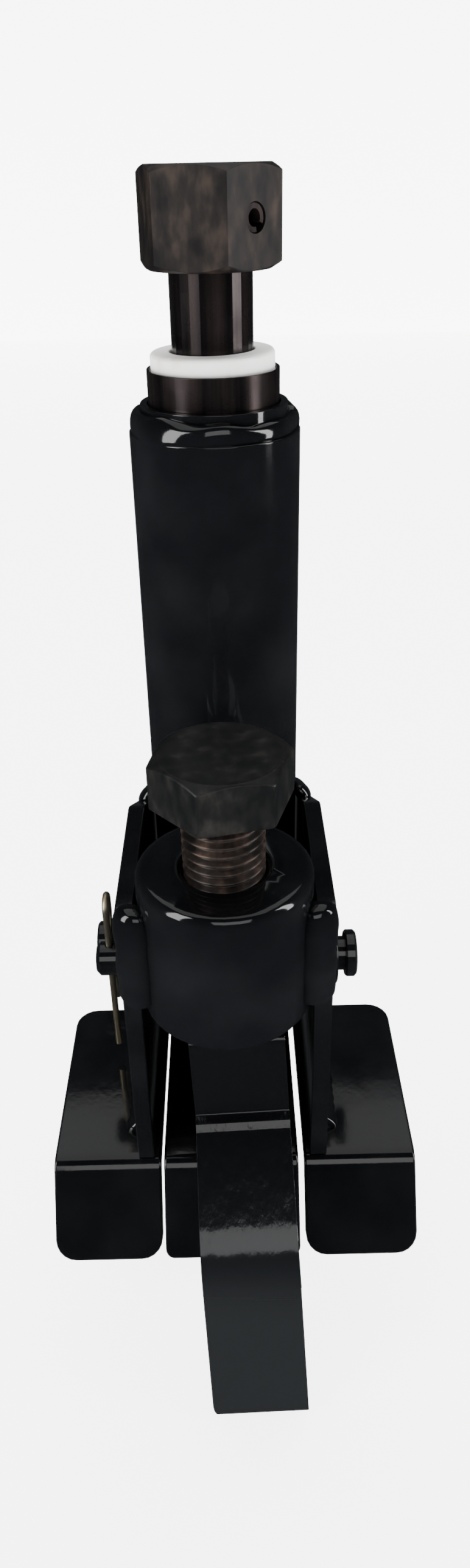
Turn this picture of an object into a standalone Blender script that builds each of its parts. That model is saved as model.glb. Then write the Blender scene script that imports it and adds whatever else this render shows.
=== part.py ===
"""Screw-driven telescopic press cylinder with a clamping claw.

A tube stands between two side plates on two side feet. Turning the hexagon on top turns a screw in
the tube, and the screw drives a telescoping ram out of the tube's lower end. The ram pushes the
middle foot down between the side feet. A clamp bolt in the front boss closes a claw, which swings
on a pin between the side plates.

The origin is where the tube's axis meets the plane of the side feet's undersides. +Z is up along
the tube, -Y is the front, where the claw is, and +X is to the right.
"""
from math import atan2, cos, pi, radians, sin, sqrt, tan

import bmesh
import bpy
from mathutils import Matrix, Vector

MM = 0.001
NAME = "telescopic_press_cylinder"

# Clearance and meshing
GAP = 0.3 * MM                  # between pieces that touch
ROUND = 40                      # segments around a large turned piece
ROUND_SMALL = 24                # segments around a pin, a screw or a washer
MERGE = 0.01 * MM

# Feet: flat plates with a lip bent down at the front. The undersides lie at z = 0
FOOT_THICK = 5.0 * MM
FOOT_BACK = -18.0 * MM
LIP_LENGTH = 33.8 * MM
LIP_ANGLE = radians(59)         # below the horizontal
BEND_INNER = 1.0 * MM
SIDE_FOOT_CORNER = 7.0 * MM
FOOT_BACK_CORNER = 8.0 * MM
PUSHER_BACK = 27.0 * MM
PUSHER_CORNER = 3.0 * MM

# Outer tube
TUBE_R = 26.0 * MM
TUBE_WALL = 4.0 * MM
TUBE_LOW = 50.0 * MM
TUBE_LONG = 174.5 * MM
TUBE_TOP = TUBE_LOW + TUBE_LONG
TUBE_BORE = TUBE_R - TUBE_WALL

# The claw's pin lies this far in front of the tube, and the boss in front of the pin
HUB_R = 12.5 * MM               # round end of the claw
HUB_TO_TUBE = 4.5 * MM
CLAW_PIN_Y = -(TUBE_R + HUB_TO_TUBE + HUB_R)
CLAW_PIN_Z = 53.0 * MM
BOSS_Y = CLAW_PIN_Y - 39.6 * MM

# Side plates, which fit against the tube's and the boss's sides
PLATE = 5.5 * MM
PLATE_IN = TUBE_R + GAP
PLATE_OUT = PLATE_IN + PLATE
PLATE_LOW = FOOT_THICK + GAP
PLATE_FRONT = BOSS_Y - 7.9 * MM
PLATE_TOP = 111.5 * MM
PLATE_KNEE = CLAW_PIN_Y + 8.0 * MM    # the top edge slopes down behind this
PLATE_FALL = 0.557              # height lost for each unit back
PLATE_REAR = 24.0 * MM
PLATE_REAR_LOW = 62.0 * MM
PLATE_HEEL = (-14.0 * MM, 30.0 * MM)
PLATE_TOE = -20.0 * MM
WELD = 5.0 * MM                 # leg of a fillet weld
FOOT_WELD_FRONT = BOSS_Y + 3.6 * MM

# The feet reach past the plates. The middle foot has a wider gap on its right
FOOT_FOLD = BOSS_Y - 8.4 * MM
SIDE_FOOT_IN = PLATE_IN - 2.0 * MM
SIDE_FOOT_OUT = PLATE_OUT + 28.7 * MM
RIGHT_FOOT_WIDER = 1.4 * MM
PUSHER_LEFT = -(SIDE_FOOT_IN - 1.0 * MM)
PUSHER_RIGHT = SIDE_FOOT_IN - 2.0 * MM

# Clamp boss
BOSS_R = TUBE_R
BOSS_LOW = 73.0 * MM
BOSS_TALL = 48.0 * MM
BOSS_TOP = BOSS_LOW + BOSS_TALL
BOSS_EDGE = 3.0 * MM
BOSS_WELD_TALL = 33.0 * MM

# Drive screw: a plain rod above its collar, a thread below
ROD_R = 12.0 * MM
ROD_SHOWN = 21.2 * MM           # bare rod between the white ring and the hexagon
COLLAR_R = 17.0 * MM
COLLAR_THICK = 6.0 * MM
THREAD_R = 10.5 * MM
THREAD_LOW = 64.0 * MM
WASHER_THICK = 2.5 * MM
STOP_R = 15.4 * MM
STOP_THICK = 3.4 * MM
STOP_BOLT_R = 4.0 * MM
STOP_BOLT_FLATS = 13.0 * MM
STOP_BOLT_HEAD = 5.5 * MM
STOP_BOLT_DEEP = 18.0 * MM

# Neck ring in the tube's mouth, and the bearing sleeve in the neck ring
SLEEVE_R = 19.75 * MM
SLEEVE_LONG = 45.8 * MM
NECK_R = 22.25 * MM
NECK_RISE = 7.8 * MM
NECK_DEEP = 26.5 * MM
NECK_TOP = TUBE_TOP + NECK_RISE
SLEEVE_RISE = 9.5 * MM
SLEEVE_TOP = NECK_TOP + SLEEVE_RISE
SLEEVE_LOW = SLEEVE_TOP - SLEEVE_LONG
SHOULDER_BEAD = 3.0 * MM
WEB_THICK = 12.0 * MM
MOUTH_DEEP = 3.2 * MM
POCKET_DEEP = 12.6 * MM
POCKET_R = 16.5 * MM
COUNTERBORE_R = COLLAR_R + 2 * GAP
SNAP_THICK = 1.2 * MM
SNAP_R = ROD_R + 2.6 * MM
SNAP_GROOVE = 0.8 * MM

# White ring in the sleeve's mouth. It sits a little askew, higher on the right
WHITE_R = 18.4 * MM
WHITE_TALL = 7.4 * MM
WHITE_TILT = radians(1.0)
WHITE_BORE = ROD_R + 0.5 * MM

# Hexagon on the rod, held by a slotted spring pin
HEX_FLATS = 36.0 * MM
HEX_TALL = 25.5 * MM
HEX_TURN = radians(44)          # direction of one corner from +X
HEX_RECESS = 3.7 * MM           # the rod's end lies this far below the hexagon's top
HEX_MOUTH = 1.9 * MM
CHAMFER = radians(30)
CHAMFER_FACE = 0.97             # the turned end face, as a share of the distance across flats
ROLL_PIN_R = 3.5 * MM
ROLL_PIN_WALL = 1.3 * MM
ROLL_PIN_SLOT = radians(50)

# Ram, its nut, and the socket that holds it to the middle foot
RAM_R = 20.0 * MM
RAM_WALL = 4.0 * MM
RAM_LOW = FOOT_THICK + 2 * GAP
RAM_LONG = 182.4 * MM
RAM_TOP = RAM_LOW + RAM_LONG
RAM_BORE = RAM_R - RAM_WALL
NUT_TALL = 20.0 * MM
NUT_FLANGE = 3.7 * MM
BUSH_LOW = TUBE_LOW + 2.0 * MM
BUSH_TALL = 14.0 * MM
SOCKET_R = 25.0 * MM
SOCKET_LOW = FOOT_THICK + GAP
SOCKET_TALL = 31.7 * MM
SOCKET_WELD = 3.5 * MM

# Cross pins and their spring clips
PIN_R = 6.0 * MM
PIN_LONG = 2 * PLATE_OUT + 27.6 * MM
PIN_EDGE = 1.4 * MM
PIN_HEAD_R = 8.25 * MM
PIN_HEAD = 4.0 * MM
CLIP_FROM_TIP = 4.5 * MM
CLIP_WIRE = 1.2 * MM
CLIP_ABOVE = 25.5 * MM
CLIP_BELOW = 41.0 * MM
CLAW_PIN_TIP = -(PLATE_OUT + 14.5 * MM)
REAR_PIN_Z = 25.0 * MM
REAR_PIN_TIP = PLATE_OUT + 7.1 * MM
COLLAR_PIN_R = 10.5 * MM
COLLAR_PIN_LONG = 5.9 * MM

# Claw
CLAW_WIDE = 30.0 * MM
CLAW_SHIFT = 2.7 * MM           # the claw hangs this far right of the middle
CLAW_LEAN = radians(2.8)        # and its tip leans to the right
CLAW_EDGE = 0.8 * MM
TIP_CORNERS = (5.0 * MM, 2.0 * MM)   # at the left and the right of the tip
TIP_LOW = -46.0 * MM
PAD_PLANE = 62.0 * MM           # top of the claw, under the bolt
SPACER_R = 10.0 * MM

# Clamp bolt, M24, and the swivel shoe on its tip
BOLT_R = 12.0 * MM
BOLT_FLATS = 36.0 * MM
BOLT_HEAD = 15.0 * MM
BOLT_SHOWN = 22.0 * MM          # bare thread between the boss and the head
BOLT_TURN = radians(12.5)
DOG_R = 7.0 * MM
DOG_CLEAR = 1.5 * MM
SHOE_R = 10.5 * MM
SHOE_TALL = 6.5 * MM
SHOE_DOME = 12.0 * MM           # radius of the face that presses on the claw
SHOE_CUP = 2.0 * MM

# Cutters reach this far past what they cut
OVER = 5.0 * MM


# ---------------------------------------------------------------- scene, collections, materials

for old in list(bpy.data.objects):
    bpy.data.objects.remove(old, do_unlink=True)


def new_collection(name):
    made = bpy.data.collections.new(name)
    bpy.context.scene.collection.children.link(made)
    return made


PARTS = new_collection(NAME)
CUTTERS = new_collection("cutters")


def material(name, colour, roughness, metallic):
    made = bpy.data.materials.new(name)
    made.use_nodes = True
    shader = made.node_tree.nodes["Principled BSDF"]
    shader.inputs["Base Color"].default_value = (*colour, 1)
    shader.inputs["Roughness"].default_value = roughness
    shader.inputs["Metallic"].default_value = metallic
    return made


GLOSS_BLACK = ((0.012, 0.013, 0.015), 0.18, 0.0)
BLACKENED = ((0.035, 0.030, 0.030), 0.38, 0.8)
RUSTED = ((0.075, 0.055, 0.045), 0.50, 0.7)
NYLON = ((0.78, 0.77, 0.74), 0.45, 0.0)
BRONZE = ((0.45, 0.28, 0.12), 0.35, 1.0)
BRIGHT = ((0.50, 0.50, 0.50), 0.30, 1.0)
ZINC_YELLOW = ((0.62, 0.53, 0.30), 0.28, 1.0)


def add_part(name, mesh_or_curve, finish, collection=None):
    made = bpy.data.objects.new(name, mesh_or_curve)
    (collection or PARTS).objects.link(made)
    if finish:
        made.data.materials.append(material(name, *finish))
    return made


# ---------------------------------------------------------------- modelling helpers

def smooth(mesh, angle=radians(35)):
    mesh.shade_smooth()
    mesh.set_sharp_from_angle(angle=angle)


def baked(obj, name, finish, weld=False):
    """The object's evaluated shape as a mesh object, with its own transform kept; obj is removed."""
    graph = bpy.context.evaluated_depsgraph_get()
    mesh = bpy.data.meshes.new_from_object(obj.evaluated_get(graph))
    mesh.materials.clear()
    mesh.transform(obj.matrix_world)
    bpy.data.objects.remove(obj, do_unlink=True)
    if weld:
        work = bmesh.new()
        work.from_mesh(mesh)
        bmesh.ops.remove_doubles(work, verts=work.verts, dist=MERGE)
        bmesh.ops.recalc_face_normals(work, faces=work.faces)
        work.to_mesh(mesh)
        work.free()
    smooth(mesh)
    return add_part(name, mesh, finish) if finish else add_part(name, mesh, None, CUTTERS)


def turned(name, profile, finish, steps=ROUND):
    """A solid of revolution about Z. The profile's (radius, z) points run down the outer side and
    back up the inner side; it is closed, unless it starts and ends on the axis."""
    work = bmesh.new()
    rings = [work.verts.new((radius, 0, height)) for radius, height in profile]
    for first, second in zip(rings, rings[1:]):
        work.edges.new((first, second))
    if profile[0][0] > 0 or profile[-1][0] > 0:
        work.edges.new((rings[-1], rings[0]))
    mesh = bpy.data.meshes.new(name)
    work.to_mesh(mesh)
    work.free()
    made = add_part(name, mesh, finish) if finish else add_part(name, mesh, None, CUTTERS)
    screw = made.modifiers.new("turn", "SCREW")
    screw.axis = "Z"
    screw.steps = screw.render_steps = steps
    screw.use_merge_vertices = True
    screw.merge_threshold = MERGE
    screw.use_smooth_shade = True
    return made


def outline(name, points, thick, finish, frame):
    """A flat plate: a closed outline in the frame's local XY plane, centred on it, thick along Z."""
    curve = bpy.data.curves.new(name, "CURVE")
    curve.dimensions = "2D"
    curve.fill_mode = "BOTH"
    curve.extrude = thick / 2
    spline = curve.splines.new("POLY")
    spline.points.add(len(points) - 1)
    for point, (u, v) in zip(spline.points, points):
        point.co = (u, v, 0, 1)
    spline.use_cyclic_u = True
    guide = bpy.data.objects.new(name, curve)
    PARTS.objects.link(guide)
    guide.matrix_world = frame
    return baked(guide, name, finish, weld=True)


def side_frame(x):
    """Local X runs towards +Y, local Y runs up, and local Z along +X, at this x."""
    return Matrix(((0, 0, 1, x), (1, 0, 0, 0), (0, 1, 0, 0), (0, 0, 0, 1)))


def front_frame(y):
    """Local X runs towards +X, local Y runs up, and local Z towards -Y, at this y."""
    return Matrix(((1, 0, 0, 0), (0, 0, -1, y), (0, 1, 0, 0), (0, 0, 0, 1)))


def arc(centre, radius, start, end, count=6):
    """Points on a circle in an outline, from one angle to another."""
    angles = [start + (end - start) * step / count for step in range(count + 1)]
    return [(centre[0] + radius * cos(a), centre[1] + radius * sin(a)) for a in angles]


def rounded(corners, count=5):
    """An outline with rounded corners, from (u, v, radius) corners. A radius of 0 keeps it sharp."""
    points = []
    for index, (u, v, radius) in enumerate(corners):
        here = Vector((u, v))
        if radius <= 0:
            points.append((u, v))
            continue
        before = (Vector(corners[index - 1][:2]) - here).normalized()
        after = (Vector(corners[(index + 1) % len(corners)][:2]) - here).normalized()
        half = before.angle(after) / 2
        centre = here + (before + after).normalized() * (radius / sin(half))
        start = here + before * (radius / tan(half)) - centre
        end = here + after * (radius / tan(half)) - centre
        first = atan2(start.y, start.x)
        swing = (atan2(end.y, end.x) - first + pi) % (2 * pi) - pi
        points += arc(centre, radius, first, first + swing, count)
    return points


def rod_between(name, start, end, radius, finish=None, sides=ROUND_SMALL):
    """A plain round bar from one point to another; a cutter if it has no finish."""
    start, end = Vector(start), Vector(end)
    work = bmesh.new()
    bmesh.ops.create_cone(work, cap_ends=True, segments=sides, radius1=radius, radius2=radius,
                          depth=(end - start).length)
    turn = (end - start).to_track_quat("Z", "Y").to_matrix().to_4x4()
    work.transform(Matrix.Translation((start + end) / 2) @ turn)
    mesh = bpy.data.meshes.new(name)
    work.to_mesh(mesh)
    work.free()
    smooth(mesh)
    return add_part(name, mesh, finish) if finish else add_part(name, mesh, None, CUTTERS)


def block(name, low, high, finish=None):
    """A box between two corners; a cutter if it has no finish."""
    low, high = Vector(low), Vector(high)
    work = bmesh.new()
    bmesh.ops.create_cube(work, size=1)
    size = high - low
    work.transform(Matrix.Translation((low + high) / 2) @ Matrix.Diagonal((*size, 1)))
    mesh = bpy.data.meshes.new(name)
    work.to_mesh(mesh)
    work.free()
    return add_part(name, mesh, finish) if finish else add_part(name, mesh, None, CUTTERS)


def cut(part, *tools, keep_common=False):
    """Cut tools out of a part, or keep only what they share."""
    for tool in tools:
        tool.hide_render = True
        tool.display_type = "WIRE"
        step = part.modifiers.new(tool.name, "BOOLEAN")
        step.operation = "INTERSECT" if keep_common else "DIFFERENCE"
        step.solver = "EXACT"
        step.object = tool
    return part


def join(part, *others):
    """Unite pieces of one solid."""
    for other in others:
        other.hide_render = True
        other.display_type = "WIRE"
        step = part.modifiers.new(other.name, "BOOLEAN")
        step.operation = "UNION"
        step.solver = "EXACT"
        step.object = other
    return part


def bevelled(part, width, segments=2):
    edge = part.modifiers.new("edges", "BEVEL")
    edge.width = width
    edge.segments = segments
    edge.limit_method = "ANGLE"
    edge.angle_limit = radians(50)
    return part


def axis_point(angle, radius, height):
    return Vector((radius * cos(angle), radius * sin(angle), height))


# ---------------------------------------------------------------- tube, neck and bearing sleeve

def make_tube():
    turned("outer_tube", [(TUBE_R, TUBE_TOP), (TUBE_R, TUBE_LOW), (TUBE_BORE, TUBE_LOW),
                          (TUBE_BORE, TUBE_TOP)], GLOSS_BLACK)
    seat, low = TUBE_TOP + GAP, TUBE_TOP - NECK_DEEP
    bore, plug = SLEEVE_R + GAP, TUBE_BORE - GAP
    turned("neck_ring", [(NECK_R, NECK_TOP), (NECK_R, seat), (plug, seat), (plug, low), (bore, low),
                         (bore, NECK_TOP)], GLOSS_BLACK)
    inner = NECK_R + GAP
    bead = [(inner + (TUBE_R - inner) * sin(a), seat + SHOULDER_BEAD * cos(a))
            for a in (radians(18 * step) for step in range(6))]
    turned("shoulder_weld", bead + [(inner, seat)], GLOSS_BLACK)
    inner = RAM_R + GAP
    turned("guide_bush", [(plug, BUSH_LOW + BUSH_TALL), (plug, BUSH_LOW), (inner, BUSH_LOW),
                          (inner, BUSH_LOW + BUSH_TALL)], BRONZE)


def make_sleeve():
    """The sleeve's web carries the thrust of the screw's collar through two washers."""
    mouth = SLEEVE_TOP - MOUTH_DEEP
    pocket = mouth - POCKET_DEEP
    web = pocket - WEB_THICK
    bore, mouth_r = ROD_R + GAP, WHITE_R + GAP
    turned("bearing_sleeve",
           [(SLEEVE_R, SLEEVE_TOP), (SLEEVE_R, SLEEVE_LOW), (COUNTERBORE_R, SLEEVE_LOW),
            (COUNTERBORE_R, web), (bore, web), (bore, pocket), (POCKET_R, pocket),
            (POCKET_R, mouth), (mouth_r, mouth), (mouth_r, SLEEVE_TOP)], BLACKENED)
    snap = pocket + GAP
    snap_bore = ROD_R - SNAP_GROOVE + GAP
    turned("snap_ring", [(SNAP_R, snap + SNAP_THICK), (SNAP_R, snap), (snap_bore, snap),
                         (snap_bore, snap + SNAP_THICK)], BRIGHT, ROUND_SMALL)
    top = web - GAP
    for name, finish in (("thrust_washer_upper", BRONZE), ("thrust_washer_lower", BRIGHT)):
        low = top - WASHER_THICK
        turned(name, [(COLLAR_R, top), (COLLAR_R, low), (bore, low), (bore, top)], finish,
               ROUND_SMALL)
        top = low - GAP
    white = turned("white_ring",
                   [(WHITE_R - 0.8 * MM, WHITE_TALL), (WHITE_R, WHITE_TALL - 0.8 * MM), (WHITE_R, 0),
                    (WHITE_BORE, 0), (WHITE_BORE, WHITE_TALL)], NYLON)
    white_low = mouth + GAP + WHITE_R * sin(WHITE_TILT)
    white.location.z = white_low
    white.rotation_euler.y = -WHITE_TILT
    return snap, top, white_low + WHITE_TALL


# ---------------------------------------------------------------- drive screw and hexagon

def hexagon(name, flats, low, tall, turn, finish, both_ends, y=0.0):
    """A hexagonal prism whose ends are turned to a cone, as on a bolt head."""
    corner = flats / sqrt(3)
    points = [(corner * cos(turn + k * pi / 3), corner * sin(turn + k * pi / 3)) for k in range(6)]
    made = outline(name, points, tall, finish, Matrix.Translation((0, y, low + tall / 2)))
    face, reach, high = flats / 2 * CHAMFER_FACE, corner * 1.2, low + tall
    drop = (reach - face) * tan(CHAMFER)
    below = [(reach, low + drop), (face, low)] if both_ends else [(reach, low)]
    cone = turned(name + "_cone", [(0, high), (face, high), (reach, high - drop)] + below + [(0, low)],
                  None)
    cone.location.y = y
    return cut(made, cone, keep_common=True)


def make_drive(snap, collar_top, white_top):
    hex_low = white_top + ROD_SHOWN
    hex_high = hex_low + HEX_TALL
    rod_top, collar_low = hex_high - HEX_RECESS, collar_top - COLLAR_THICK
    groove_top, groove_r, edge = snap + SNAP_THICK + GAP, ROD_R - SNAP_GROOVE, 0.8 * MM
    stop_bore = STOP_BOLT_R + GAP
    hole_top = THREAD_LOW + STOP_BOLT_DEEP
    screw = turned("drive_screw",
                   [(0, rod_top), (ROD_R - edge, rod_top), (ROD_R, rod_top - edge),
                    (ROD_R, groove_top), (groove_r, groove_top), (groove_r, snap - GAP),
                    (ROD_R, snap - GAP), (ROD_R, collar_top), (COLLAR_R, collar_top),
                    (COLLAR_R, collar_low), (THREAD_R, collar_low), (THREAD_R, THREAD_LOW),
                    (stop_bore, THREAD_LOW), (stop_bore, hole_top), (0, hole_top + stop_bore / 2)],
                   BLACKENED, ROUND_SMALL)
    cap = hexagon("hex_cap", HEX_FLATS, hex_low, HEX_TALL, HEX_TURN, RUSTED, True)
    bore, mouth = ROD_R + GAP, ROD_R + GAP + HEX_MOUTH
    cut(cap, turned("hex_bore", [(0, hex_high + OVER), (mouth, hex_high + OVER), (mouth, hex_high),
                                 (bore, hex_high - HEX_MOUTH), (bore, hex_low - OVER),
                                 (0, hex_low - OVER)], None))
    aim, height = HEX_TURN - pi / 2, hex_low + HEX_TALL / 2
    hole = rod_between("roll_pin_hole", axis_point(aim, -HEX_FLATS, height),
                       axis_point(aim, HEX_FLATS, height), ROLL_PIN_R + GAP)
    cut(cap, hole)
    cut(screw, hole)
    make_roll_pin(aim, height)
    washer_top = THREAD_LOW - GAP
    washer_low = washer_top - STOP_THICK
    turned("stop_washer", [(STOP_R, washer_top), (STOP_R, washer_low), (stop_bore, washer_low),
                           (stop_bore, washer_top)], BRIGHT, ROUND_SMALL)
    head_top = washer_low - GAP
    bolt = hexagon("stop_bolt", STOP_BOLT_FLATS, head_top - STOP_BOLT_HEAD, STOP_BOLT_HEAD, 0, BRIGHT,
                   False)
    shank = rod_between("stop_bolt_shank", (0, 0, head_top - STOP_BOLT_HEAD / 2),
                        (0, 0, hole_top - 2 * MM), STOP_BOLT_R)
    join(bolt, shank)


def make_roll_pin(aim, height):
    """A slotted spring pin: its slot faces down and to the right."""
    inner, slot = ROLL_PIN_R - ROLL_PIN_WALL, ROLL_PIN_SLOT / 2
    ring = (arc((0, 0), ROLL_PIN_R, slot, 2 * pi - slot, 20)
            + arc((0, 0), inner, 2 * pi - slot, slot, 16))
    along = axis_point(aim, 1, 0)
    across = Vector((-along.y, along.x, 0))
    toward = across * cos(radians(50)) - Vector((0, 0, sin(radians(50))))
    frame = Matrix((toward, along.cross(toward), along)).transposed().to_4x4()
    frame.translation = Vector((0, 0, height))
    outline("roll_pin", ring, HEX_FLATS - MM, BLACKENED, frame)


# ---------------------------------------------------------------- side plates, boss and welds

def plate_top(y):
    """Height of the side plates' sloping top edge."""
    return PLATE_TOP - (y - PLATE_KNEE) * PLATE_FALL


def make_side_plates():
    shape = rounded([(PLATE_FRONT, PLATE_LOW, 0), (PLATE_TOE, PLATE_LOW, 0), (*PLATE_HEEL, 6 * MM),
                     (PLATE_REAR, PLATE_REAR_LOW, 6 * MM), (PLATE_REAR, plate_top(PLATE_REAR), 4 * MM),
                     (PLATE_KNEE, PLATE_TOP, 8 * MM), (PLATE_FRONT, PLATE_TOP, 1.5 * MM)])
    reach = PLATE_OUT + COLLAR_PIN_LONG + OVER
    hole = rod_between("claw_pin_hole", (-reach, CLAW_PIN_Y, CLAW_PIN_Z),
                       (reach, CLAW_PIN_Y, CLAW_PIN_Z), PIN_R + GAP)
    for side, word in ((-1, "left"), (1, "right")):
        plate = outline("side_plate_" + word, shape, PLATE, GLOSS_BLACK,
                        side_frame(side * (PLATE_IN + PLATE / 2)))
        cut(plate, hole)
        near = side * (PLATE_OUT + GAP)
        far = near + side * COLLAR_PIN_LONG
        collar = rod_between("pin_collar_" + word, (near, CLAW_PIN_Y, CLAW_PIN_Z),
                             (far, CLAW_PIN_Y, CLAW_PIN_Z), COLLAR_PIN_R, GLOSS_BLACK)
        cut(collar, hole)
    return hole


def make_boss():
    bore, edge, inset = BOLT_R + GAP, 1.5 * MM, 0.8 * MM
    corner = [(BOSS_R - BOSS_EDGE * (1 - sin(a)), BOSS_TOP - BOSS_EDGE * (1 - cos(a)))
              for a in (radians(22.5 * step) for step in range(5))]
    boss = turned("clamp_boss", corner + [(BOSS_R, BOSS_LOW + inset), (BOSS_R - inset, BOSS_LOW),
                                          (bore + edge, BOSS_LOW), (bore, BOSS_LOW + edge),
                                          (bore, BOSS_TOP - edge), (bore + edge, BOSS_TOP)],
                  GLOSS_BLACK)
    boss.location.y = BOSS_Y


def bead(name, middle, size, *rooms):
    """A lump of weld: an ellipsoid, cut to fit the pieces that it joins."""
    work = bmesh.new()
    bmesh.ops.create_uvsphere(work, u_segments=20, v_segments=14, radius=1)
    work.transform(Matrix.Translation(middle) @ Matrix.Diagonal((*size, 1)))
    mesh = bpy.data.meshes.new(name)
    work.to_mesh(mesh)
    work.free()
    smooth(mesh)
    return cut(add_part(name, mesh, GLOSS_BLACK), *rooms)


def make_welds():
    high = BOSS_TOP + OVER
    wide = 2 * PLATE_OUT
    boss_room = rod_between("boss_room", (0, BOSS_Y, 0), (0, BOSS_Y, high), BOSS_R + GAP,
                            sides=2 * ROUND)
    tube_room = rod_between("tube_room", (0, 0, 0), (0, 0, high), TUBE_R + GAP, sides=2 * ROUND)
    plate_room = block("plate_room", (-wide, PLATE_FRONT - GAP, 0), (wide, 0, high))
    lift, back = GAP * 1.3, 2 * PLATE_REAR
    slope = [(PLATE_KNEE, plate_top(PLATE_KNEE) + lift), (PLATE_KNEE, 0), (back, 0),
             (back, plate_top(back) + lift)]
    slope_room = outline("slope_room", slope, 2 * wide, None, side_frame(0))
    for side, word in ((-1, "left"), (1, "right")):
        bead("boss_weld_" + word, (side * (PLATE_IN + 1.7 * MM), PLATE_FRONT, BOSS_LOW + 21.5 * MM),
             (WELD, WELD + MM, BOSS_WELD_TALL / 2), boss_room, plate_room)
        bead("tube_weld_" + word, (side * (PLATE_IN + 1.2 * MM), 0, plate_top(0) + MM),
             (WELD, 3 * WELD, WELD + MM), tube_room, slope_room)
        near, low = side * (PLATE_OUT + GAP), FOOT_THICK + GAP
        fillet = [(near, low), (near + side * WELD, low),
                  (near + side * WELD * 0.55, low + WELD * 0.45), (near, low + WELD)]
        outline("foot_weld_" + word, fillet, PLATE_TOE - FOOT_WELD_FRONT, GLOSS_BLACK,
                front_frame((FOOT_WELD_FRONT + PLATE_TOE) / 2))


# ---------------------------------------------------------------- feet

def foot_outline(back):
    """The bent plate seen from the side: the flat, the bend and the lip."""
    outer = BEND_INNER + FOOT_THICK
    bend = (FOOT_FOLD + outer * tan(LIP_ANGLE / 2), FOOT_THICK - outer)
    top = arc(bend, outer, pi / 2, pi / 2 + LIP_ANGLE, 6)
    low = arc(bend, BEND_INNER, pi / 2 + LIP_ANGLE, pi / 2, 4)
    along = Vector((-cos(LIP_ANGLE), -sin(LIP_ANGLE)))
    straight = LIP_LENGTH - outer * tan(LIP_ANGLE / 2)
    tips = [tuple(Vector(point) + along * straight) for point in (top[-1], low[0])]
    return [(back, FOOT_THICK)] + top + tips + low + [(back, 0)]


def make_foot(name, low_x, high_x, back, lip_corner, back_corner):
    """The lip's corners are rounded square to the lip, the back ones straight down."""
    foot = outline(name, foot_outline(back), high_x - low_x, GLOSS_BLACK,
                   side_frame((low_x + high_x) / 2))
    far = 200 * MM
    lip = Matrix.Translation((0, FOOT_FOLD, FOOT_THICK)) @ Matrix.Rotation(LIP_ANGLE, 4, "X")
    end = rounded([(low_x, far, 0), (low_x, -LIP_LENGTH, lip_corner), (high_x, -LIP_LENGTH, lip_corner),
                   (high_x, far, 0)])
    rear = rounded([(low_x, -far, 0), (high_x, -far, 0), (high_x, back, back_corner),
                    (low_x, back, back_corner)])
    cut(foot, outline(name + "_lip", end, 2 * far, None, lip),
        outline(name + "_rear", rear, far, None, Matrix.Identity(4)), keep_common=True)


def make_feet():
    make_foot("foot_left", -SIDE_FOOT_OUT, -SIDE_FOOT_IN, FOOT_BACK, SIDE_FOOT_CORNER,
              FOOT_BACK_CORNER)
    make_foot("foot_right", SIDE_FOOT_IN, SIDE_FOOT_OUT + RIGHT_FOOT_WIDER, FOOT_BACK, SIDE_FOOT_CORNER,
              FOOT_BACK_CORNER)
    make_foot("pusher_foot", PUSHER_LEFT, PUSHER_RIGHT, PUSHER_BACK, PUSHER_CORNER, FOOT_BACK_CORNER)


# ---------------------------------------------------------------- ram

def make_ram():
    ram = turned("ram_tube", [(RAM_R, RAM_TOP), (RAM_R, RAM_LOW), (RAM_BORE, RAM_LOW),
                              (RAM_BORE, RAM_TOP)], BRIGHT)
    seat, bore, plug = RAM_TOP + GAP, THREAD_R + GAP, RAM_BORE - GAP
    guide = TUBE_BORE - GAP
    turned("ram_nut", [(guide, seat + NUT_FLANGE), (guide, seat), (plug, seat), (plug, seat - NUT_TALL),
                       (bore, seat - NUT_TALL), (bore, seat + NUT_FLANGE)], BRONZE)
    inner = RAM_R + GAP
    socket = turned("foot_socket", [(SOCKET_R, SOCKET_LOW + SOCKET_TALL), (SOCKET_R, SOCKET_LOW),
                                    (inner, SOCKET_LOW), (inner, SOCKET_LOW + SOCKET_TALL)],
                    GLOSS_BLACK)
    reach = SOCKET_R + OVER
    hole = rod_between("rear_pin_hole", (-reach, 0, REAR_PIN_Z), (reach, 0, REAR_PIN_Z), PIN_R + GAP)
    cut(ram, hole)
    cut(socket, hole)
    near = SOCKET_R + GAP
    far = near + SOCKET_WELD
    # Only the front half is welded, and the bead stays on the foot
    edge = min(-PUSHER_LEFT, PUSHER_RIGHT) - MM
    ring = turned("socket_weld", [(near, SOCKET_LOW + SOCKET_WELD), (near + SOCKET_WELD * 0.45,
                                  SOCKET_LOW + SOCKET_WELD * 0.55), (far, SOCKET_LOW),
                                  (near, SOCKET_LOW)], GLOSS_BLACK)
    cut(ring, block("socket_weld_front", (-edge, -far - OVER, 0), (edge, 0, REAR_PIN_Z)),
        keep_common=True)


# ---------------------------------------------------------------- claw, pins and clips

def claw_outline():
    """The claw from the side: along its top, down its front, and back along its inner edge. The
    corners' first numbers are distances from the pin."""
    hub = (CLAW_PIN_Y, CLAW_PIN_Z)
    corners = [(-50, 62, 3), (-54, 34, 1), (-57, 33, 0.8), (-58.5, 31, 1), (-90, 10, 30),
               (-106, -44.5, 1), (-90, TIP_LOW / MM, 1), (-75, 1, 12), (-47, 19, 14)]
    start = radians(250)
    end = 3 * pi - atan2(PAD_PLANE - CLAW_PIN_Z, sqrt(HUB_R ** 2 - (PAD_PLANE - CLAW_PIN_Z) ** 2))
    round_hub = arc(hub, HUB_R, start, end, 16)
    path = rounded([(*round_hub[-1], 0)]
                   + [(CLAW_PIN_Y + u * MM, v * MM, r * MM) for u, v, r in corners]
                   + [(*round_hub[0], 0)], 4)
    return path + round_hub[1:-1]


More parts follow.
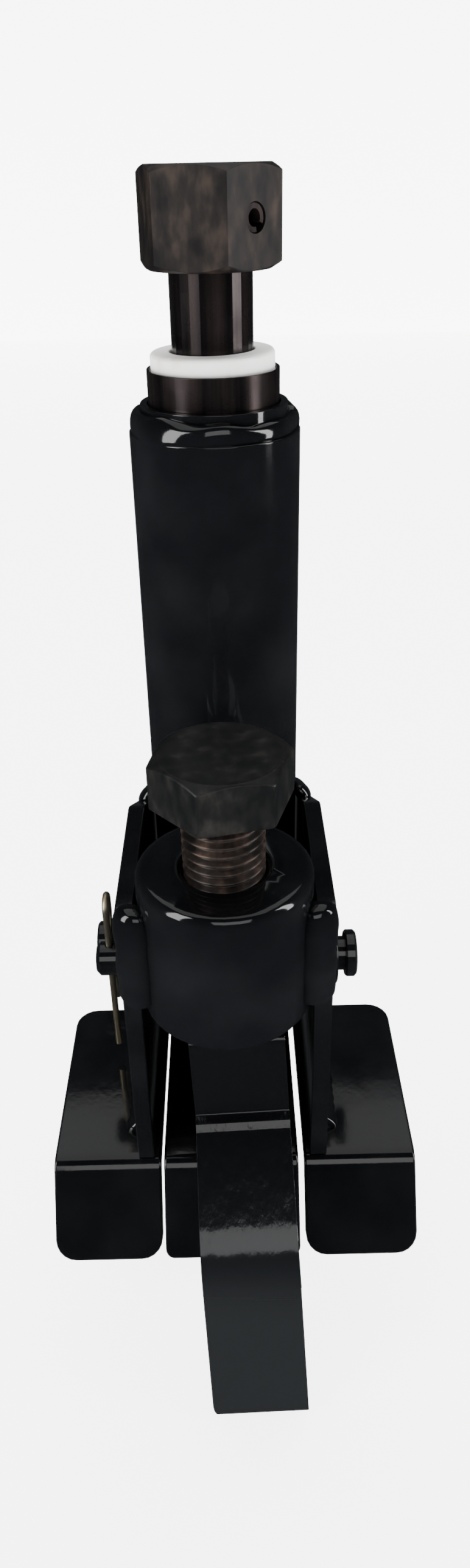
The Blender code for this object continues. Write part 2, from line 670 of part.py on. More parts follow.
def make_claw(pin_hole):
    claw = outline("claw", claw_outline(), CLAW_WIDE, GLOSS_BLACK, side_frame(CLAW_SHIFT))
    left, right, high = CLAW_SHIFT - CLAW_WIDE / 2, CLAW_SHIFT + CLAW_WIDE / 2, 2 * PAD_PLANE
    over = CLAW_WIDE
    face = rounded([(left, high, 0), (left, TIP_LOW, TIP_CORNERS[0]), (right, TIP_LOW, TIP_CORNERS[1]),
                    (right, high, 0)])
    # Above the tip the cutter is wider than the claw, so that it only rounds the corners
    face = [(left - over, high), (left - over, 0), (left, 0)] + face[1:-1] + [
        (right, 0), (right + over, 0), (right + over, high)]
    tip_shape = outline("claw_tip", face, 4 * high, None, front_frame(CLAW_PIN_Y))
    for piece in (claw, tip_shape):
        piece.data.transform(Matrix.Translation((0, CLAW_PIN_Y, CLAW_PIN_Z))
                             @ Matrix.Rotation(-CLAW_LEAN, 4, "Y")
                             @ Matrix.Translation((0, -CLAW_PIN_Y, -CLAW_PIN_Z)))
    cut(claw, tip_shape, keep_common=True)
    bevelled(claw, CLAW_EDGE, 1)
    cut(claw, pin_hole)
    half = CLAW_WIDE / 2 / cos(CLAW_LEAN) + SPACER_R * sin(CLAW_LEAN) + GAP
    wall = PLATE_IN - GAP
    for word, low, high in (("left", -wall, CLAW_SHIFT - half), ("right", CLAW_SHIFT + half, wall)):
        spacer = rod_between("spacer_" + word, (low, CLAW_PIN_Y, CLAW_PIN_Z),
                             (high, CLAW_PIN_Y, CLAW_PIN_Z), SPACER_R, BRIGHT)
        cut(spacer, pin_hole)


def make_cross_pin(word, tip, side, y, z):
    """A headed pin along X and its spring clip. Heights in the profile run from head to tip."""
    rim = PIN_HEAD_R
    pin = turned(word + "_pin", [(0, PIN_LONG), (PIN_R - PIN_EDGE, PIN_LONG), (PIN_R, PIN_LONG - PIN_EDGE),
                                 (PIN_R, PIN_HEAD), (rim - 0.6 * MM, PIN_HEAD),
                                 (rim, PIN_HEAD - 0.6 * MM), (rim, 0.8 * MM), (rim - 0.8 * MM, 0),
                                 (0, 0)], BLACKENED, ROUND_SMALL)
    pin.location = (tip - side * PIN_LONG, y, z)
    pin.rotation_euler.y = side * pi / 2
    x = tip - side * CLIP_FROM_TIP
    eye = rod_between(word + "_clip_hole", (x, y, z - 2 * PIN_R), (x, y, z + 2 * PIN_R),
                      CLIP_WIRE + GAP, sides=12)
    cut(pin, eye)
    back = PIN_R + CLIP_WIRE + GAP
    centre, low = z + CLIP_ABOVE - CLIP_WIRE - back / 2, z - CLIP_BELOW
    bow = [(y + back / 2 * (1 - cos(a)), centre + back / 2 * sin(a))
           for a in (pi * step / 12 for step in range(13))]
    route = [(y, low)] + bow + [(y + back, low + 0.3 * CLIP_BELOW)]
    curve = bpy.data.curves.new(word + "_clip", "CURVE")
    curve.dimensions = "3D"
    curve.bevel_depth = CLIP_WIRE
    curve.bevel_resolution = 2
    curve.use_fill_caps = True
    spline = curve.splines.new("POLY")
    spline.points.add(len(route) - 1)
    for point, (across, up) in zip(spline.points, route):
        point.co = (x, across, up, 1)
    guide = bpy.data.objects.new(word + "_clip", curve)
    PARTS.objects.link(guide)
    baked(guide, word + "_clip", ZINC_YELLOW, weld=True)


# ---------------------------------------------------------------- clamp bolt and its shoe

def make_clamp():
    dome = PAD_PLANE + GAP
    top = dome + SHOE_TALL
    swing = atan2(SHOE_R, sqrt(SHOE_DOME ** 2 - SHOE_R ** 2))
    face = [(SHOE_DOME * sin(a), dome + SHOE_DOME * (1 - cos(a)))
            for a in (swing * (5 - step) / 5 for step in range(6))]
    cup, cup_low = DOG_R + GAP, top - SHOE_CUP
    shoe = turned("bolt_shoe", [(0, cup_low), (cup, cup_low), (cup, top), (SHOE_R, top)] + face, BRIGHT,
                  ROUND_SMALL)
    shoe.location.y = BOSS_Y
    head_low, shoulder = BOSS_TOP + BOLT_SHOWN, top + DOG_CLEAR
    shank = turned("bolt_shank", [(0, head_low + BOLT_HEAD / 2), (BOLT_R, head_low + BOLT_HEAD / 2),
                                  (BOLT_R, shoulder + MM), (BOLT_R - MM, shoulder), (DOG_R, shoulder),
                                  (DOG_R, cup_low + GAP), (0, cup_low + GAP)], None, ROUND_SMALL)
    shank.location.y = BOSS_Y
    join(hexagon("clamp_bolt", BOLT_FLATS, head_low, BOLT_HEAD, BOLT_TURN, RUSTED, False, BOSS_Y), shank)


# ---------------------------------------------------------------- build

make_tube()
snap_z, collar_z, white_z = make_sleeve()
make_drive(snap_z, collar_z, white_z)
claw_pin_hole = make_side_plates()
make_boss()
make_welds()
make_feet()
make_ram()
make_claw(claw_pin_hole)
make_cross_pin("claw", CLAW_PIN_TIP, -1, CLAW_PIN_Y, CLAW_PIN_Z)
make_cross_pin("rear", REAR_PIN_TIP, 1, 0.0, REAR_PIN_Z)
make_clamp()
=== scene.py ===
from math import cos, pi, radians, sin, sqrt, tan

import bmesh
import bpy
import numpy as np
from mathutils import Matrix, Vector


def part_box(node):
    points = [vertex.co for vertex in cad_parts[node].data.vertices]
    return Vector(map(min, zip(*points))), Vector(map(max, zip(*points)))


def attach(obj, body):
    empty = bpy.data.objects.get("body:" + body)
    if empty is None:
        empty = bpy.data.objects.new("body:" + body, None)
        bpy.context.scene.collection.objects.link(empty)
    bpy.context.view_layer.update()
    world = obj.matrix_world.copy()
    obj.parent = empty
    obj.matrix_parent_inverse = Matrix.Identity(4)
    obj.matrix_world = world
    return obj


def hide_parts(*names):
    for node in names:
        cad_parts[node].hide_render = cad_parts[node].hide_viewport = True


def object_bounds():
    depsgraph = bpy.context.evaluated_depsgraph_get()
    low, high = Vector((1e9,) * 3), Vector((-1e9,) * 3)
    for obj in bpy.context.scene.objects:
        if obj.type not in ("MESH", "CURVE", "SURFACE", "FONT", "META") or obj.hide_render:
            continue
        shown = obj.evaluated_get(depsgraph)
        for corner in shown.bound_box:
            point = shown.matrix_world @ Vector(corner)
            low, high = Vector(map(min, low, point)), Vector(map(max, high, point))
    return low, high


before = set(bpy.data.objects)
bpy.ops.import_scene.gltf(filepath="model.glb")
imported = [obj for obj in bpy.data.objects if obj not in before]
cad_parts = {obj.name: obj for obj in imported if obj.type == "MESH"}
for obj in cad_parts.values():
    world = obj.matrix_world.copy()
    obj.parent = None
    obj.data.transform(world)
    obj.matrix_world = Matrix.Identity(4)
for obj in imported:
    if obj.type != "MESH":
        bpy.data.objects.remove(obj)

cad_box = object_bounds()
MM = 0.001


# ------------------------------------------------------------------ camera, floor and lights
# A camera close above the front looks down at the tool, which hangs just over a pale floor. The
# floor and wall stay out of the gloss, so that black paint keeps its depth.

CAMERA_AT = (3.1 * MM, -322.9 * MM, 293.5 * MM)
CAMERA_YAW = radians(0.12)
CAMERA_DOWN = radians(31.22)
CAMERA_ROLL = radians(-1.26)
CAMERA_LENS = 23.6
SENSOR = 36.0
FLOOR_HALF = 3.0
FLOOR_GLOW = 4.5
WALL_AWAY = 2.2
WALL_GLOW = 5.0
PALE = 0.9
ROOM_COLOUR = (0.8, 0.85, 0.9, 1)
ROOM_STRENGTH = 0.035
LIGHTS_AIM = (0, -0.03, 0.12)
LIGHTS = (("left_window", (-0.85, -0.55, 0.55), (0.35, 1.1), 11),       # name, place, size, watts
          ("right_window", (0.95, -0.25, 0.45), (0.18, 1.0), 7),
          ("ceiling", (0.0, 0.25, 1.25), (1.4, 1.2), 5),
          ("front_fill", (0.15, -1.1, 0.75), (0.9, 0.6), 3.5))


def aim_camera():
    """Right, up and backward directions from a yaw about Z, a pitch down and a roll."""
    ahead = Vector((sin(CAMERA_YAW) * cos(CAMERA_DOWN), cos(CAMERA_YAW) * cos(CAMERA_DOWN),
                    -sin(CAMERA_DOWN)))
    level = Vector((cos(CAMERA_YAW), -sin(CAMERA_YAW), 0))
    upright = level.cross(ahead)
    right = level * cos(CAMERA_ROLL) + upright * sin(CAMERA_ROLL)
    up = upright * cos(CAMERA_ROLL) - level * sin(CAMERA_ROLL)
    camera = bpy.data.objects.new("camera", bpy.data.cameras.new("camera"))
    bpy.context.scene.collection.objects.link(camera)
    turned = Matrix((right, up, -ahead)).transposed().to_4x4()
    camera.matrix_world = Matrix.Translation(CAMERA_AT) @ turned
    camera.data.sensor_width = SENSOR
    camera.data.lens = CAMERA_LENS
    camera.data.clip_start = 0.01
    bpy.context.scene.camera = camera


def plain_sheet(name, corners, glow):
    """A flat pale sheet that glows a little and isn't seen in reflections."""
    mesh = bpy.data.meshes.new(name)
    mesh.from_pydata(corners, [], [(0, 1, 2, 3)])
    finish = bpy.data.materials.new(name)
    finish.use_nodes = True
    shader = finish.node_tree.nodes["Principled BSDF"]
    shader.inputs["Base Color"].default_value = (PALE, PALE, PALE, 1)
    shader.inputs["Roughness"].default_value = 1.0
    shader.inputs["Emission Color"].default_value = (1, 1, 1, 1)
    shader.inputs["Emission Strength"].default_value = glow
    mesh.materials.append(finish)
    sheet = bpy.data.objects.new(name, mesh)
    bpy.context.scene.collection.objects.link(sheet)
    sheet.visible_glossy = False


def soft_light(name, at, size, watts):
    """A rectangular studio light that faces the middle of the tool."""
    lamp = bpy.data.lights.new(name, "AREA")
    lamp.shape = "RECTANGLE"
    lamp.size, lamp.size_y = size
    lamp.energy = watts
    light = bpy.data.objects.new(name, lamp)
    bpy.context.scene.collection.objects.link(light)
    light.location = at
    light.rotation_euler = (Vector(LIGHTS_AIM) - Vector(at)).to_track_quat("-Z", "Y").to_euler()


aim_camera()
floor_z = cad_box[0][2] - MM
plain_sheet("floor", [(-FLOOR_HALF, -FLOOR_HALF, floor_z), (FLOOR_HALF, -FLOOR_HALF, floor_z),
                      (FLOOR_HALF, FLOOR_HALF, floor_z), (-FLOOR_HALF, FLOOR_HALF, floor_z)],
            FLOOR_GLOW)
plain_sheet("wall", [(-FLOOR_HALF, WALL_AWAY, floor_z), (FLOOR_HALF, WALL_AWAY, floor_z),
                     (FLOOR_HALF, WALL_AWAY, 2 * FLOOR_HALF), (-FLOOR_HALF, WALL_AWAY, 2 * FLOOR_HALF)],
            WALL_GLOW)
world = bpy.data.worlds.new("room")
world.use_nodes = True
world.node_tree.nodes["Background"].inputs["Color"].default_value = ROOM_COLOUR
world.node_tree.nodes["Background"].inputs["Strength"].default_value = ROOM_STRENGTH
bpy.context.scene.world = world
for light in LIGHTS:
    soft_light(*light)


# ------------------------------------------------------------------ gloss black paint
# Thick spray enamel over welded steel: deep black, with faint orange peel, slow waves where it ran
# over rough stock, and a few duller patches. It is smoothest on the boss and thickest on the welds.

PAINT_BLACK = (0.0028, 0.0030, 0.0036, 1)
PAINT_WORN = (0.0050, 0.0055, 0.0062, 1)
MERGE = 0.01 * MM
CREASE = radians(38)


def new_finish(name, metallic=0.0):
    """A material with its node tree, its shader and an Object coordinate output."""
    finish = bpy.data.materials.new(name)
    finish.use_nodes = True
    tree = finish.node_tree
    shader = tree.nodes["Principled BSDF"]
    shader.inputs["Metallic"].default_value = metallic
    place = tree.nodes.new("ShaderNodeTexCoord").outputs["Object"]
    return finish, tree, shader, place


def noise(tree, place, scale, stretch=(1, 1, 1), detail=3.0):
    """Noise of so many grains to the metre, stretched along an axis where its factor is small."""
    mapping = tree.nodes.new("ShaderNodeMapping")
    mapping.inputs["Scale"].default_value = stretch
    tree.links.new(place, mapping.inputs["Vector"])
    grain = tree.nodes.new("ShaderNodeTexNoise")
    grain.inputs["Scale"].default_value = scale
    grain.inputs["Detail"].default_value = detail
    tree.links.new(mapping.outputs["Vector"], grain.inputs["Vector"])
    return grain.outputs["Fac"]


def ramp(tree, factor, stops):
    """Colours or greys along a factor, as (position, colour) pairs."""
    band = tree.nodes.new("ShaderNodeValToRGB")
    while len(band.color_ramp.elements) < len(stops):
        band.color_ramp.elements.new(0.5)
    for element, (position, colour) in zip(band.color_ramp.elements, stops):
        element.position = position
        element.color = colour if isinstance(colour, tuple) else (colour, colour, colour, 1)
    tree.links.new(factor, band.inputs["Fac"])
    return band.outputs["Color"]


def maths(tree, operation, first, second):
    node = tree.nodes.new("ShaderNodeMath")
    node.operation = operation
    for socket, value in zip(node.inputs, (first, second)):
        if isinstance(value, (int, float)):
            socket.default_value = value
        else:
            tree.links.new(value, socket)
    return node.outputs["Value"]


def bumps(tree, shader, *layers):
    """Heights in metres laid over one another, as (factor, height) pairs."""
    normal = None
    for factor, height in layers:
        bump = tree.nodes.new("ShaderNodeBump")
        bump.inputs["Distance"].default_value = height
        tree.links.new(factor, bump.inputs["Height"])
        if normal:
            tree.links.new(normal, bump.inputs["Normal"])
        normal = bump.outputs["Normal"]
    tree.links.new(normal, shader.inputs["Normal"])


def paint(name, peel, waves, dull):
    """Black enamel: heights of its orange peel and of its waves, and the roughness of its patches."""
    finish, tree, shader, place = new_finish(name)
    patches = noise(tree, place, 38, detail=5)
    tree.links.new(ramp(tree, patches, [(0.42, PAINT_BLACK), (0.72, PAINT_WORN)]),
                   shader.inputs["Base Color"])
    tree.links.new(ramp(tree, patches, [(0.35, 0.07), (0.75, dull)]), shader.inputs["Roughness"])
    bumps(tree, shader, (noise(tree, place, 700), peel), (noise(tree, place, 70), waves))
    return finish


frame_paint = paint("frame_paint", peel=0.000008, waves=0.00008, dull=0.15)
boss_paint = paint("boss_paint", peel=0.000004, waves=0.00003, dull=0.10)
weld_paint = paint("weld_paint", peel=0.000012, waves=0.00016, dull=0.12)


def finished(piece, body, *nodes):
    """The piece rides on its body and stands for its nodes, which it hides."""
    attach(piece, body)
    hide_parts(*nodes)


def softened(node, body, width, finish, segments=2):
    """A copy of a node with its seams merged, its flats joined and its edges rounded."""
    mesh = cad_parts[node].data.copy()
    work = bmesh.new()
    work.from_mesh(mesh)
    bmesh.ops.remove_doubles(work, verts=work.verts, dist=MERGE)
    bmesh.ops.dissolve_limit(work, angle_limit=radians(0.6), verts=work.verts, edges=work.edges)
    work.to_mesh(mesh)
    work.free()
    mesh.materials.clear()
    mesh.materials.append(finish)
    mesh.shade_smooth()
    mesh.set_sharp_from_angle(angle=CREASE)
    piece = bpy.data.objects.new(node + "_finished", mesh)
    bpy.context.scene.collection.objects.link(piece)
    edge = piece.modifiers.new("edge", "BEVEL")
    edge.width = width
    edge.segments = segments
    edge.limit_method = "ANGLE"
    edge.angle_limit = CREASE
    edge.harden_normals = True
    finished(piece, body, node)


def dress(node, finish):
    """A new finish on a node that keeps its shape."""
    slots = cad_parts[node].data.materials
    slots.clear()
    slots.append(finish)


# ------------------------------------------------------------------ tube, plates, boss and feet
# The welded frame: a drawn tube and a bored boss between two flame-cut plates, on two feet bent from
# flat bar. All of it was painted after welding, which rounds every edge.

for name in ("outer_tube", "neck_ring", "pin_collar_left", "pin_collar_right"):
    softened(name, "frame", 0.5 * MM, frame_paint)
softened("clamp_boss", "frame", 0.5 * MM, boss_paint)
for name in ("side_plate_left", "side_plate_right", "foot_left", "foot_right"):
    softened(name, "frame", 0.9 * MM, frame_paint, 3)
softened("pusher_foot", "ram", 0.9 * MM, frame_paint, 3)
softened("foot_socket", "ram", 0.6 * MM, frame_paint)


# ------------------------------------------------------------------ weld beads
# Laid by hand with wire: rounded ridges with slow ripples across them, thicker at the front of the
# feet where the arc was started, and filled smooth by the paint.

def wobble(along, seed, waves=5):
    """A smooth random curve near 0: a sum of sines of rising pace."""
    draw = np.random.default_rng(seed)
    total = np.zeros_like(along)
    for pace in range(1, waves + 1):
        total += draw.normal() / pace * np.sin(along * pace * 2 * pi * 1.7 + draw.uniform(0, 2 * pi))
    return total / 2


def surface_mesh(name, points, finish, wrap_rows=False):
    """A grid of points, rows by columns, whose columns close into a ring; open ends are capped."""
    rows, columns = points.shape[:2]
    row = np.arange(rows if wrap_rows else rows - 1)[:, None]
    column = np.arange(columns)[None, :]
    after, beside = (row + 1) % rows, (column + 1) % columns
    quads = np.stack([row * columns + column, row * columns + beside, after * columns + beside,
                      after * columns + column], axis=-1).reshape(-1, 4)
    faces = quads.tolist()
    if not wrap_rows:
        faces.append(list(range(columns))[::-1])
        faces.append(list(range((rows - 1) * columns, rows * columns)))
    mesh = bpy.data.meshes.new(name)
    mesh.from_pydata(points.reshape(-1, 3).tolist(), [], faces)
    work = bmesh.new()
    work.from_mesh(mesh)
    bmesh.ops.recalc_face_normals(work, faces=work.faces)
    work.to_mesh(mesh)
    work.free()
    mesh.materials.append(finish)
    mesh.shade_smooth()
    mesh.set_sharp_from_angle(angle=radians(50))
    piece = bpy.data.objects.new(name, mesh)
    bpy.context.scene.collection.objects.link(piece)
    return piece


def weld_bead(name, path, across, up, half, tall, ripples, seed, ring=False, start_lump=0.0,
              rough=0.5):
    """An oval section carried along a path, that ripples, swells and shrinks as much as it is rough."""
    along = np.linspace(0, 1, len(path), endpoint=not ring)
    swell = 1 + rough * (0.13 * wobble(along, seed) + 0.07 * np.sin(along * ripples * 2 * pi))
    swell = swell + start_lump * np.exp(-(along / 0.07) ** 2)
    if not ring:
        swell = swell * np.sqrt(np.clip(1 - (2 * along - 1) ** 10, 0.02, 1))
    turn = np.linspace(0, 2 * pi, 28, endpoint=False)
    lumps = 1 + rough * 0.06 * np.sin(turn[None, :] * 3 + 2 * wobble(along, seed + 1)[:, None])
    wide = (half * swell)[:, None] * np.cos(turn)[None, :] * lumps
    high = (tall * swell)[:, None] * np.sin(turn)[None, :] * lumps
    points = path[:, None, :] + across[:, None, :] * wide[..., None] + up[:, None, :] * high[..., None]
    return surface_mesh(name, points, weld_paint, wrap_rows=ring)


def straight(start, end, count):
    return np.array(start) + np.linspace(0, 1, count)[:, None] * (np.array(end) - np.array(start))


def steady(direction, count):
    return np.tile(np.array(direction) / np.linalg.norm(direction), (count, 1))


low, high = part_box("shoulder_weld")
shoulder_r = (high.x - low.x) / 2
turn = np.linspace(0, 2 * pi, 220, endpoint=False)
outward = np.stack([np.cos(turn), np.sin(turn), 0 * turn], axis=1)
ring = outward * (shoulder_r - 3.3 * MM) + np.array([0, 0, low.z + 0.2 * MM])
finished(weld_bead("shoulder_bead", ring, outward, steady((0, 0, 1), len(ring)), half=2.7 * MM,
                   tall=5.2 * MM, ripples=7, seed=3, ring=True, rough=1.3), "frame", "shoulder_weld")

BOSS_STEPS, TUBE_STEPS, FOOT_STEPS = 90, 70, 150
for side, word in ((-1, "left"), (1, "right")):
    low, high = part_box("boss_weld_" + word)
    x, y = side * 27.0 * MM, high.y - 0.6 * MM
    path = straight((x, y, low.z - 2 * MM), (x, y, high.z + 2 * MM), BOSS_STEPS)
    finished(weld_bead("boss_bead_" + word, path, steady((side, 0.35, 0), BOSS_STEPS),
                       steady((0.2 * side, -1, 0), BOSS_STEPS), half=5.8 * MM, tall=4.6 * MM, ripples=3,
                       seed=11 + side, rough=0.35), "frame", "boss_weld_" + word)
    low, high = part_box("tube_weld_" + word)
    x, z = side * 28.2 * MM, (low.z + high.z) / 2 - 0.5 * MM
    path = straight((x, low.y, z + 6.0 * MM), (x, high.y, z - 6.0 * MM), TUBE_STEPS)
    finished(weld_bead("tube_bead_" + word, path, steady((side, 0, -0.6), TUBE_STEPS),
                       steady((0, 0.5, 1), TUBE_STEPS), half=3.6 * MM, tall=3.4 * MM, ripples=8,
                       seed=21 + side), "frame", "tube_weld_" + word)
    low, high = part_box("foot_weld_" + word)
    x, z = side * 33.0 * MM, low.z + 0.6 * MM
    path = straight((x, low.y - MM, z), (x, high.y, z), FOOT_STEPS)
    finished(weld_bead("foot_bead_" + word, path, steady((side, 0, -1), FOOT_STEPS),
                       steady((side, 0, 1), FOOT_STEPS), half=4.0 * MM, tall=2.9 * MM, ripples=14,
                       seed=31 + side, start_lump=0.55, rough=0.7), "frame", "foot_weld_" + word)
dress("socket_weld", weld_paint)


# ------------------------------------------------------------------ sleeve, rod and ram
# Turned steel, blackened in hot oil: smooth and nearly black, with a faint brown cast and fine
# scratches along the axis. The ram and the hidden pieces are bare machined steel and bronze.

def turned_steel(name, dark, light, rough, metallic=0.85):
    finish, tree, shader, place = new_finish(name, metallic)
    streaks = noise(tree, place, 260, (1, 1, 0.04), 4)
    tree.links.new(ramp(tree, streaks, [(0.35, dark), (0.70, light)]), shader.inputs["Base Color"])
    spread = noise(tree, place, 90, detail=4)
    tree.links.new(ramp(tree, spread, [(0.35, rough), (0.75, rough + 0.16)]),
                   shader.inputs["Roughness"])
    bumps(tree, shader, (streaks, 0.00002))
    return finish


blackened = turned_steel("blackened_steel", (0.010, 0.009, 0.010, 1), (0.040, 0.030, 0.029, 1), 0.22)
bright = turned_steel("machined_steel", (0.34, 0.34, 0.35, 1), (0.55, 0.55, 0.56, 1), 0.24, 1.0)
bronze = turned_steel("bronze", (0.33, 0.19, 0.08, 1), (0.52, 0.32, 0.14, 1), 0.28, 1.0)
softened("bearing_sleeve", "frame", 0.35 * MM, blackened)
for name in ("drive_screw", "roll_pin"):
    dress(name, blackened)
for name in ("snap_ring", "thrust_washer_lower", "stop_washer", "stop_bolt", "ram_tube", "spacer_left",
             "spacer_right", "bolt_shoe"):
    dress(name, bright)
for name in ("guide_bush", "thrust_washer_upper", "ram_nut"):
    dress(name, bronze)


# ------------------------------------------------------------------ white ring
# A turned nylon wiper pushed into the sleeve's mouth: milky, with soft edges, faint turning marks
# and a little grease and dust.

nylon, tree, shader, place = new_finish("white_nylon")
grime = noise(tree, place, 110, (1, 1, 0.5), 5)
tree.links.new(ramp(tree, grime, [(0.30, (0.80, 0.80, 0.79, 1)), (0.62, (0.74, 0.73, 0.70, 1)),
                                  (0.80, (0.55, 0.52, 0.46, 1))]), shader.inputs["Base Color"])
tree.links.new(ramp(tree, grime, [(0.3, 0.36), (0.8, 0.55)]), shader.inputs["Roughness"])
shader.inputs["Subsurface Weight"].default_value = 0.12
shader.inputs["Subsurface Scale"].default_value = 0.002
bumps(tree, shader, (noise(tree, place, 900, (0.05, 0.05, 1)), 0.00003))
softened("white_ring", "frame", 0.6 * MM, nylon, 3)


# ------------------------------------------------------------------ hexagon and bolt
# Black-oxide steel that has been handled and left damp: brown-black flats, cloudy where it is worn,
# and rust in the thread. The bolt's head is turned to a cone at its top, and its thread is cut.

def oxide(name, dark, brown, rust, rust_from):
    """Edges show by how far the surface turns outwards; rust follows a coarse noise."""
    finish, tree, shader, place = new_finish(name, 0.55)
    cloud = noise(tree, place, 230, (1, 1, 0.5), 6)
    edge = tree.nodes.new("ShaderNodeNewGeometry").outputs["Pointiness"]
    worn = maths(tree, "ADD", cloud, maths(tree, "MULTIPLY", maths(tree, "SUBTRACT", edge, 0.5), 1.1))
    colour = ramp(tree, worn, [(0.40, dark), (0.56, brown), (rust_from, rust)])
    tree.links.new(colour, shader.inputs["Base Color"])
    tree.links.new(ramp(tree, cloud, [(0.3, 0.34), (0.75, 0.48)]), shader.inputs["Roughness"])
    bumps(tree, shader, (noise(tree, place, 1100, (1, 1, 0.25)), 0.00001), (cloud, 0.00003))
    return finish


hex_oxide = oxide("hexagon_oxide", (0.008, 0.007, 0.007, 1), (0.015, 0.012, 0.011, 1),
                  (0.042, 0.029, 0.022, 1), 0.80)
head_oxide = oxide("bolt_head_oxide", (0.007, 0.0075, 0.008, 1), (0.011, 0.011, 0.011, 1),
                   (0.035, 0.032, 0.029, 1), 0.84)
thread_rust = oxide("thread_rust", (0.012, 0.010, 0.009, 1), (0.030, 0.022, 0.019, 1),
                    (0.085, 0.055, 0.040, 1), 0.76)
softened("hex_cap", "drive", 0.35 * MM, hex_oxide, 3)

CONE = radians(30)
BOLT_PITCH = 3.0 * MM
BOLT_CREST = 12.0 * MM
BOLT_ROOT = 10.2 * MM
BOLT_HEAD = 15.0 * MM
BOLT_FLATS = 36.0 * MM
BOLT_TURN = radians(12.5)
low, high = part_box("clamp_bolt")
boss_low, boss_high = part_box("clamp_boss")
bolt_y = boss_low.y + (boss_high.y - boss_low.y) / 2
head_low = high.z - BOLT_HEAD


def around_bolt(radius, turn, heights):
    """Points at these radii, angles and heights about the bolt's axis."""
    return np.stack([radius * np.cos(turn), bolt_y + radius * np.sin(turn), heights + 0 * turn],
                    axis=-1)


def bolt_thread():
    """Radius by height and angle: a blunt V that climbs one pitch a turn, its crests worn
    unevenly."""
    turn = np.linspace(0, 2 * pi, 64, endpoint=False)[None, :]
    heights = np.arange(low.z + 3.3 * MM, head_low + 0.5 * MM, BOLT_PITCH / 14)[:, None]
    phase = (heights / BOLT_PITCH - turn / (2 * pi)) % 1.0
    groove = np.clip(2.6 * np.abs(phase - 0.5) - 0.15, 0, 1)
    worn = 0.12 * MM * np.clip(wobble(heights * 20 + turn / 7, 5), 0, 1)
    radius = BOLT_ROOT + (BOLT_CREST - BOLT_ROOT) * groove - worn * groove
    return surface_mesh("bolt_thread", around_bolt(radius, turn, heights), thread_rust)


def bolt_head():
    """The smaller, at each angle and height, of a hexagon's radius and the cone's."""
    turn = np.linspace(0, 2 * pi, 360, endpoint=False)[None, :]
    from_flat = (turn - BOLT_TURN) % (pi / 3) - pi / 6
    hexagon = np.minimum(BOLT_FLATS / 2 / np.cos(from_flat), BOLT_FLATS / sqrt(3) * 0.985)
    face = BOLT_FLATS / 2 * 0.96
    rise = np.concatenate([[0, 0.4, 3, 6, 9], np.linspace(10, 14.9, 24), [15.0]])[:, None] * MM
    cone = face + (BOLT_HEAD - rise) / tan(CONE)
    radius = (hexagon ** -90.0 + cone ** -90.0) ** (-1 / 90.0)
    radius = radius - 0.5 * MM * (rise < 0.1 * MM)
    lid = np.array([0.985, 0.95, 0.6, 0.2, 0.02])[:, None] * radius[-1:]
    radius = np.concatenate([radius, lid])
    crown = np.array([0.12, 0.16, 0.16, 0.16, 0.16])[:, None] * MM
    heights = head_low + np.concatenate([rise, BOLT_HEAD + crown - 0.16 * MM])
    return surface_mesh("bolt_head", around_bolt(radius, turn, heights), head_oxide)


finished(bolt_thread(), "bolt", "clamp_bolt")
finished(bolt_head(), "bolt", "clamp_bolt")


# ------------------------------------------------------------------ claw
# Flame-cut from thick plate and painted while it lay flat: the slope has orange peel and drips, which
# fade into a smooth, duller stretch down to the tip. That stretch is also painted a lighter grey than
# the black above it, as a painted reflection of the pale floor.

# Heights over which the painted grey reflection low on the claw gives way to full black, and the drips
# grow to full size.
DRIPS_FROM = -12 * MM           # heights between which the drips grow to their full size
DRIPS_FULL = 34 * MM
claw_paint, tree, shader, place = new_finish("claw_paint")
height = tree.nodes.new("ShaderNodeSeparateXYZ")
tree.links.new(place, height.inputs["Vector"])
slope = tree.nodes.new("ShaderNodeMapRange")
slope.interpolation_type = "SMOOTHSTEP"
slope.inputs["From Min"].default_value = DRIPS_FROM
slope.inputs["From Max"].default_value = DRIPS_FULL
tree.links.new(height.outputs["Z"], slope.inputs["Value"])
drips_above_painted_sheen = slope.outputs["Result"]
drips = noise(tree, place, 300, (1, 0.5, 0.5), 4)
# Colour: a lighter grey low on the claw is a painted reflection of the floor, and plain black paint is
# above it.
tree.links.new(ramp(tree, drips_above_painted_sheen, [(0.0, (0.008, 0.009, 0.010, 1)), (1.0, PAINT_BLACK)]),
               shader.inputs["Base Color"])
tree.links.new(ramp(tree, drips_above_painted_sheen, [(0.0, 0.34), (0.35, 0.12), (1.0, 0.14)]),
               shader.inputs["Roughness"])
bumps(tree, shader, (maths(tree, "MULTIPLY", drips, drips_above_painted_sheen), 0.0003),
      (noise(tree, place, 60, (1, 0.4, 0.4)), 0.00012))
softened("claw", "claw", 0.7 * MM, claw_paint, 2)


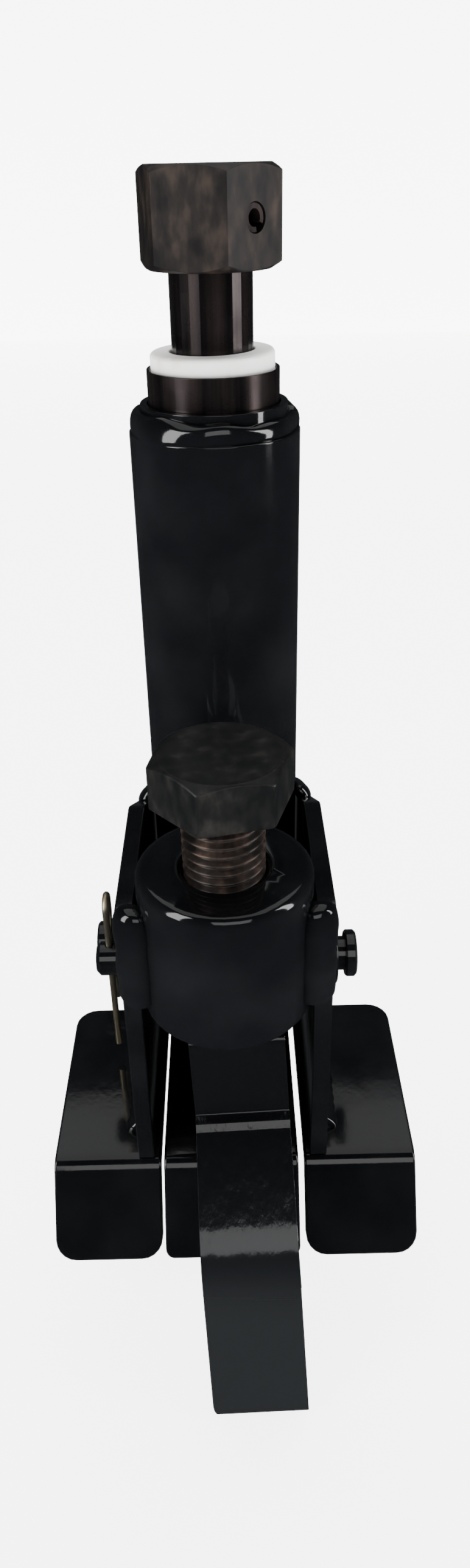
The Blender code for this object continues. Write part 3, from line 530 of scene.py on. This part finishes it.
# ------------------------------------------------------------------ pins and spring clips
# Headed pins in black paint, each held by an R-clip bent from springy wire, plated pale yellow. One
# leg of a clip goes through the pin, and the other is bent to hug its side.

WIRE_R = 1.15 * MM
WIRE_INSET = 1.2 * MM           # radius of the plain wire that it stands for
for name in ("claw_pin", "rear_pin"):
    dress(name, frame_paint)
zinc = turned_steel("yellow_zinc", (0.42, 0.36, 0.22, 1), (0.72, 0.66, 0.50, 1), 0.34, 1.0)


def spring_clip(word):
    """A round wire carried along a planar line: a straight leg, a bow, and a leg with two bends."""
    low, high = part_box(word + "_clip")
    pin_low, pin_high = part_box(word + "_pin")
    x, y, z = (low.x + high.x) / 2, (pin_low.y + pin_high.y) / 2, (pin_low.z + pin_high.z) / 2
    back = high.y - y - WIRE_INSET
    top = high.z - WIRE_INSET - back / 2
    leg = np.stack([np.full(60, y), np.linspace(low.z, top, 60)], axis=1)
    swing = np.linspace(0, pi, 24)[1:-1]
    bow = np.stack([y + back / 2 * (1 - np.cos(swing)), top + back / 2 * np.sin(swing)], axis=1)
    down = np.linspace(top, z - 27 * MM, 110)
    pinch = 2.5 * MM * (np.exp(-((down - z - 10 * MM) / (3 * MM)) ** 2)
                        + np.exp(-((down - z + 10 * MM) / (3 * MM)) ** 2))
    flare = 3.0 * MM * np.clip((z - 16 * MM - down) / (11 * MM), 0, 1) ** 1.5
    hug = np.stack([y + back - pinch + flare, down], axis=1)
    line = np.concatenate([leg, bow, hug])
    ahead = np.gradient(line, axis=0)
    ahead = ahead / np.linalg.norm(ahead, axis=1)[:, None]
    side = np.stack([0 * ahead[:, 0], -ahead[:, 1], ahead[:, 0]], axis=1)
    turn = np.linspace(0, 2 * pi, 16, endpoint=False)
    centre = np.stack([np.full(len(line), x), line[:, 0], line[:, 1]], axis=1)
    points = (centre[:, None, :] + side[:, None, :] * (WIRE_R * np.cos(turn))[None, :, None]
              + np.array([1, 0, 0]) * (WIRE_R * np.sin(turn))[None, :, None])
    return surface_mesh(word + "_clip_wire", points, zinc)


for word in ("claw", "rear"):
    finished(spring_clip(word), word + "_clip", word + "_clip")
